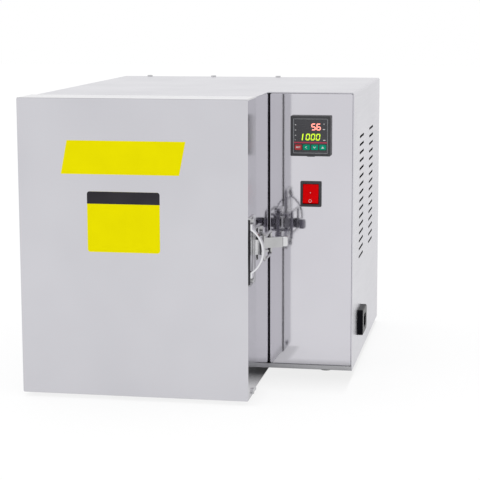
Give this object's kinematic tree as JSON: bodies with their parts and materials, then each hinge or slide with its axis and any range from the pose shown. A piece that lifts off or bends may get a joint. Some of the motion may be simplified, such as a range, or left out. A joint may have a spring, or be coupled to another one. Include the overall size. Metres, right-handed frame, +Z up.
{
  "type": "jewellery kiln",
  "caption": "Bench kiln with a side-hinged insulated front door, a lever latch with wire bail, and a set-back control bay with a square temperature controller and a rocker switch",
  "frame": {"origin": "middle of the overall footprint, on the surface that the rubber feet stand on", "axes": "+X is the kiln's right side seen from the front, +Y points to the back, +Z is up"},
  "size_m": [0.382, 0.484, 0.347],
  "materials": {
    "satin_steel": "fine-grained stainless sheet",
    "polished_steel": "polished stainless sheet",
    "plain_steel": "plain sheet steel",
    "bright_steel": "bright plated steel",
    "plated_steel": "plated steel screws",
    "probe_steel": "heat-dulled steel",
    "element_wire": "oxidised resistance wire",
    "fibre_board": "bonded white ceramic fibre",
    "shelf_ceramic": "unglazed kiln shelf",
    "white_ceramic": "porcelain",
    "grey_rope": "braided glass-fibre rope",
    "black_rubber": "black moulded rubber",
    "black_plastic": "black moulded plastic",
    "inlet_plastic": "black moulded plastic",
    "grey_plastic": "grey moulded plastic",
    "white_plastic": "off-white moulded plastic",
    "knob_steel": "polished plated knob",
    "yellow_film": "thin yellow plastic plate",
    "dark_window": "dark tinted face sheet",
    "circuit_board": "green circuit board",
    "brass_blades": "brass",
    "plated_pins": "nickel-plated",
    "raw_aluminium": "extruded",
    "red_plastic": "red moulded plastic",
    "red_button": "red key",
    "green_button": "green key"
  },
  "bodies": {
    "cabinet": {"outer_shell": "satin_steel", "divider_wall": "satin_steel", "base_pan": "plain_steel", "back_panel": "satin_steel", "mouth_frame": "plain_steel", "control_panel": "polished_steel", "rubber_feet": "black_rubber", "foot_screws": "plated_steel", "floor_board": "fibre_board", "roof_board": "fibre_board", "left_board": "fibre_board", "right_board": "fibre_board", "back_board": "fibre_board", "left_element": "element_wire", "right_element": "element_wire", "element_terminals": "white_ceramic", "hearth_plate": "shelf_ceramic", "thermocouple": "probe_steel", "lower_hinge_cabinet_leaf": "bright_steel", "upper_hinge_cabinet_leaf": "bright_steel", "hinge_pins": "bright_steel", "latch_bracket": "bright_steel", "latch_pin": "bright_steel", "controller_case": "black_plastic", "controller_bezel": "black_plastic", "controller_window": "dark_window", "controller_board": "circuit_board", "controller_clamp": "grey_plastic", "switch_body": "black_plastic", "switch_blades": "brass_blades", "mains_inlet": "inlet_plastic", "inlet_pins": "plated_pins", "relay_heatsink": "raw_aluminium", "solid_state_relay": "white_plastic", "terminal_strip": "black_plastic", "cabinet_screws": "plated_steel", "cabinet_fitting_screws": "plated_steel"},
    "door": {"door_shell": "satin_steel", "door_tray": "plain_steel", "door_liner": "plain_steel", "door_insulation": "fibre_board", "door_plug": "fibre_board", "rope_seal": "grey_rope", "lower_hinge_door_leaf": "bright_steel", "upper_hinge_door_leaf": "bright_steel", "latch_keeper": "bright_steel", "pull_handle": "bright_steel", "front_plates": "yellow_film", "door_screws": "plated_steel", "door_fitting_screws": "plated_steel"},
    "lever": {"latch_lever": "bright_steel", "lever_ball": "knob_steel"},
    "bail": {"latch_bail": "bright_steel"},
    "rocker": {"switch_rocker": "red_plastic"},
    "set_button_body": {"set_button": "red_button"},
    "shift_button_body": {"shift_button": "green_button"},
    "down_button_body": {"down_button": "green_button"},
    "up_button_body": {"up_button": "green_button"}
  },
  "joints": [
    {"name": "door_hinge", "type": "hinge", "parent": "cabinet", "child": "door", "pos_m": [-0.1865, -0.18675, 0.175], "axis": [0, 0, -1], "range_deg": [0, 170]},
    {"name": "lever_pivot", "type": "hinge", "parent": "cabinet", "child": "lever", "pos_m": [0.0896, -0.171, 0.1765], "axis": [0, 0, 1], "range_deg": [-57, 63]},
    {"name": "bail_pivot", "type": "hinge", "parent": "lever", "child": "bail", "pos_m": [0.09673, -0.16737, 0.1765], "axis": [0, 0, 1], "range_deg": [-63, 57]},
    {"name": "rocker_pivot", "type": "hinge", "parent": "cabinet", "child": "rocker", "pos_m": [0.13295, -0.089, 0.2235], "axis": [1, 0, 0], "range_deg": [0, 16]},
    {"name": "set_button_slide", "type": "slide", "parent": "cabinet", "child": "set_button_body", "axis": [0, 1, 0], "range_m": [0, 0.0006], "stiffness_N_per_m": 1500, "springref_m": -0.0004},
    {"name": "shift_button_slide", "type": "slide", "parent": "cabinet", "child": "shift_button_body", "axis": [0, 1, 0], "range_m": [0, 0.0006], "stiffness_N_per_m": 1500, "springref_m": -0.0004},
    {"name": "down_button_slide", "type": "slide", "parent": "cabinet", "child": "down_button_body", "axis": [0, 1, 0], "range_m": [0, 0.0006], "stiffness_N_per_m": 1500, "springref_m": -0.0004},
    {"name": "up_button_slide", "type": "slide", "parent": "cabinet", "child": "up_button_body", "axis": [0, 1, 0], "range_m": [0, 0.0006], "stiffness_N_per_m": 1500, "springref_m": -0.0004}
  ],
  "couplings": [
    {"joint": "bail_pivot", "follows": "lever_pivot", "ratio": -1}
  ]
}
